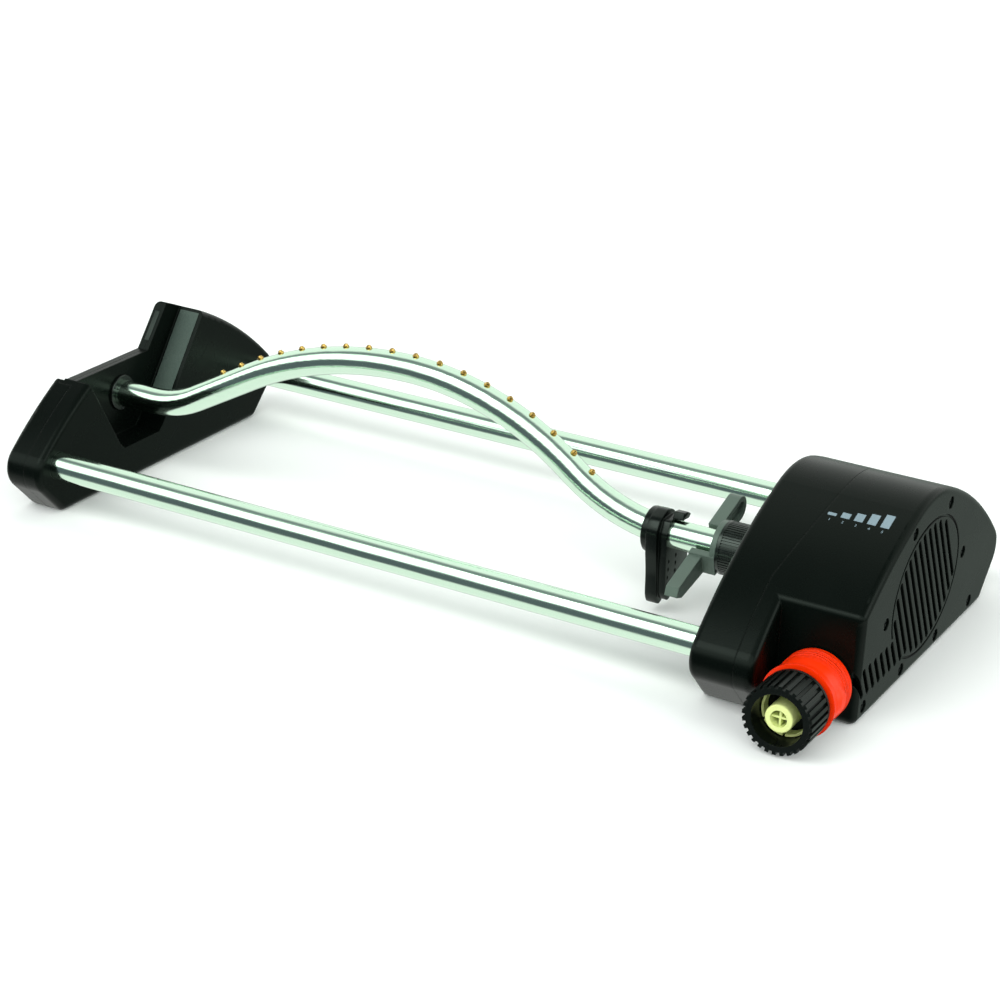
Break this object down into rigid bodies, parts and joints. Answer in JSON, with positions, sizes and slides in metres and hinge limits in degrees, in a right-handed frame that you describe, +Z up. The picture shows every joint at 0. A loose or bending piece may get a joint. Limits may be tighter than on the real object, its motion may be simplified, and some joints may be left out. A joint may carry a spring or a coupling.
{
  "type": "oscillating lawn sprinkler",
  "caption": "Oscillating lawn sprinkler: arched spray bar with brass nozzles between two frame tubes, water-driven gearbox, quick hose connector.",
  "frame": {"origin": "middle of the overall length and width, on the ground plane under the housings", "axes": "+X from the foot to the gearbox along the frame tubes, +Y away from the hose connection, +Z up"},
  "size_m": [0.485, 0.2416, 0.1078],
  "materials": {
    "housing_black": "satin moulded",
    "tube_metal": "bright polished",
    "screw_steel": "blackened",
    "bearing_plastic": "smooth",
    "nozzle_brass": "turned",
    "control_black": "satin moulded",
    "seal_rubber": "matte",
    "motor_plastic": "moulded",
    "gear_plastic": "moulded acetal",
    "connector_orange": "satin gloss",
    "connector_black": "satin moulded",
    "tail_lime": "satin gloss"
  },
  "bodies": {
    "base": {"foot_inner_shell": "housing_black", "foot_outer_cover": "housing_black", "foot_screws": "screw_steel", "pivot_bush": "bearing_plastic", "front_tube": "tube_metal", "rear_tube": "tube_metal", "housing_inner_shell": "housing_black", "housing_outer_shell": "housing_black", "housing_screws": "screw_steel", "spindle_bush": "bearing_plastic", "motor_case": "motor_plastic", "motor_cap": "motor_plastic", "motor_screws": "screw_steel", "gear_pins": "screw_steel", "shaft_seal": "seal_rubber", "inlet_nipple": "motor_plastic", "inlet_seal": "seal_rubber", "inlet_strainer": "motor_plastic"},
    "drive": {"drive_sleeve": "motor_plastic", "outlet_seal": "seal_rubber", "bar_seal": "seal_rubber", "slotted_arm": "control_black", "rocker": "motor_plastic"},
    "spray_bar": {"spray_tube": "tube_metal", "nozzles": "nozzle_brass", "bar_end_plug": "motor_plastic", "bar_end_seal": "seal_rubber", "clamp_lever": "control_black"},
    "collar": {"range_collar": "control_black"},
    "link": {"connecting_link": "motor_plastic"},
    "crank": {"crank_shaft": "motor_plastic", "crank_gear": "gear_plastic"},
    "third_gear": {"third_gear": "gear_plastic"},
    "second_gear": {"second_gear": "gear_plastic"},
    "first_gear": {"first_gear": "gear_plastic"},
    "turbine": {"turbine_wheel": "gear_plastic"},
    "connector": {"connector_core": "connector_black", "locking_claws": "tail_lime", "hose_tail": "tail_lime", "hose_collet": "tail_lime"},
    "release_sleeve": {"connector_sleeve": "connector_orange"},
    "nut": {"hose_nut": "connector_black"}
  },
  "joints": [
    {"name": "swing", "type": "hinge", "parent": "base", "child": "drive", "pos_m": [0.0815, -0.0072, 0.044], "axis": [1, 0, 0], "range_deg": [-45, 45]},
    {"name": "bar_set", "type": "hinge", "parent": "drive", "child": "spray_bar", "pos_m": [0.0815, -0.0072, 0.044], "axis": [1, 0, 0], "range_deg": [-30, 30]},
    {"name": "range_select", "type": "hinge", "parent": "drive", "child": "collar", "pos_m": [0.1565, -0.0072, 0.044], "axis": [1, 0, 0], "range_deg": [-72, 72]},
    {"name": "link_pivot", "type": "hinge", "parent": "drive", "child": "link", "pos_m": [0.1775, -0.0072, 0.024], "axis": [1, 0, 0], "range_deg": [-45, 45]},
    {"name": "turbine_spin", "type": "hinge", "parent": "base", "child": "turbine", "pos_m": [0.2115, 0.0338, 0.0381], "axis": [1, 0, 0], "continuous": true},
    {"name": "first_gear_turn", "type": "hinge", "parent": "base", "child": "first_gear", "pos_m": [0.2055, 0.0128, 0.0381], "axis": [1, 0, 0], "continuous": true},
    {"name": "second_gear_turn", "type": "hinge", "parent": "base", "child": "second_gear", "pos_m": [0.2015, 0.0338, 0.0381], "axis": [1, 0, 0], "continuous": true},
    {"name": "third_gear_turn", "type": "hinge", "parent": "base", "child": "third_gear", "pos_m": [0.1975, 0.0128, 0.0381], "axis": [1, 0, 0], "continuous": true},
    {"name": "crank_turn", "type": "hinge", "parent": "base", "child": "crank", "pos_m": [0.1865, 0.0338, 0.0381], "axis": [1, 0, 0], "continuous": true},
    {"name": "connector_swivel", "type": "hinge", "parent": "base", "child": "connector", "pos_m": [0.223, -0.0902, 0.0192], "axis": [0, 1, 0], "continuous": true},
    {"name": "sleeve_release", "type": "slide", "parent": "connector", "child": "release_sleeve", "axis": [0, -1, 0], "range_m": [0, 0.0022], "stiffness_N_per_m": 400},
    {"name": "nut_turn", "type": "hinge", "parent": "connector", "child": "nut", "pos_m": [0.223, -0.1102, 0.0192], "axis": [0, 1, 0], "continuous": true}
  ],
  "couplings": [
    {"joint": "link_pivot", "follows": "swing", "ratio": -1},
    {"joint": "first_gear_turn", "follows": "turbine_spin", "ratio": -0.25},
    {"joint": "second_gear_turn", "follows": "turbine_spin", "ratio": 0.0625},
    {"joint": "third_gear_turn", "follows": "turbine_spin", "ratio": -0.015625},
    {"joint": "crank_turn", "follows": "turbine_spin", "ratio": 0.0039062}
  ]
}
